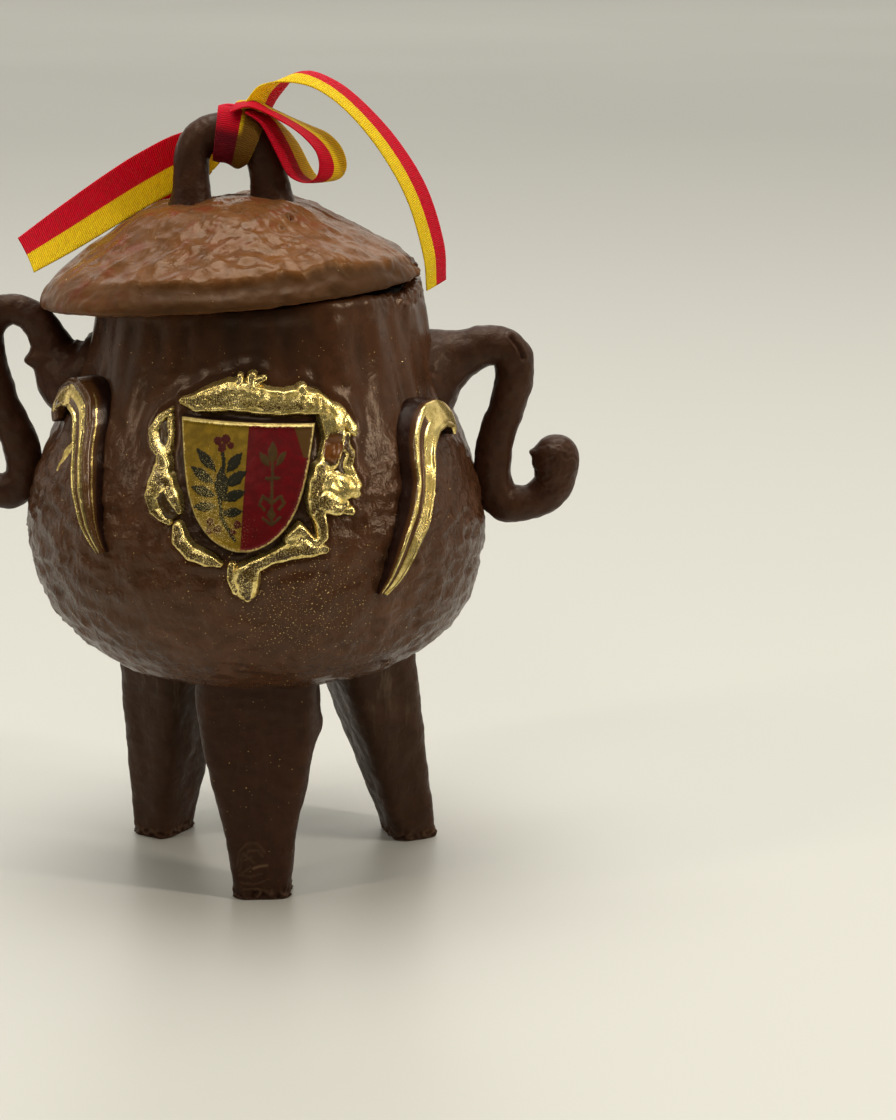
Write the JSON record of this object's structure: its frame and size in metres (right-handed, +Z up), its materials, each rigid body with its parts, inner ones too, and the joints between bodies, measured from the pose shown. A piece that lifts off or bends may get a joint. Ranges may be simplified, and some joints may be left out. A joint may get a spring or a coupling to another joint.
{
  "type": "chocolate cauldron",
  "caption": "Round-bellied chocolate pot on tapered legs, with scrolled side handles, a tilted lid with an arched grip, gilt ornaments, an icing shield and a ribbon bow.",
  "frame": {"origin": "middle of the object's footprint on the plane under its feet", "axes": "+Z up, -Y towards the front with the shield, +X towards the viewer's right"},
  "size_m": [0.1666, 0.122, 0.2073],
  "materials": {
    "chocolate_pot": "brushed milk chocolate, satin",
    "chocolate_lid": "wet-looking milk chocolate",
    "chocolate_dark": "dull moulded chocolate",
    "chocolate_gloss": "glossy dark chocolate with gilt ridges",
    "gilding": "edible gold over chocolate",
    "icing": "painted icing, pale yellow and red",
    "ribbon": "ribbed ribbon, half red and half yellow"
  },
  "bodies": {
    "root": {"pot": "chocolate_pot", "lid": "chocolate_lid", "lid_handle": "chocolate_dark", "handle_left": "chocolate_dark", "handle_right": "chocolate_dark", "leg_front": "chocolate_dark", "leg_left": "chocolate_dark", "leg_right": "chocolate_dark", "scroll_left": "chocolate_gloss", "scroll_right": "chocolate_gloss", "cartouche": "gilding", "shield": "icing", "ribbon": "ribbon"}
  },
  "joints": []
}
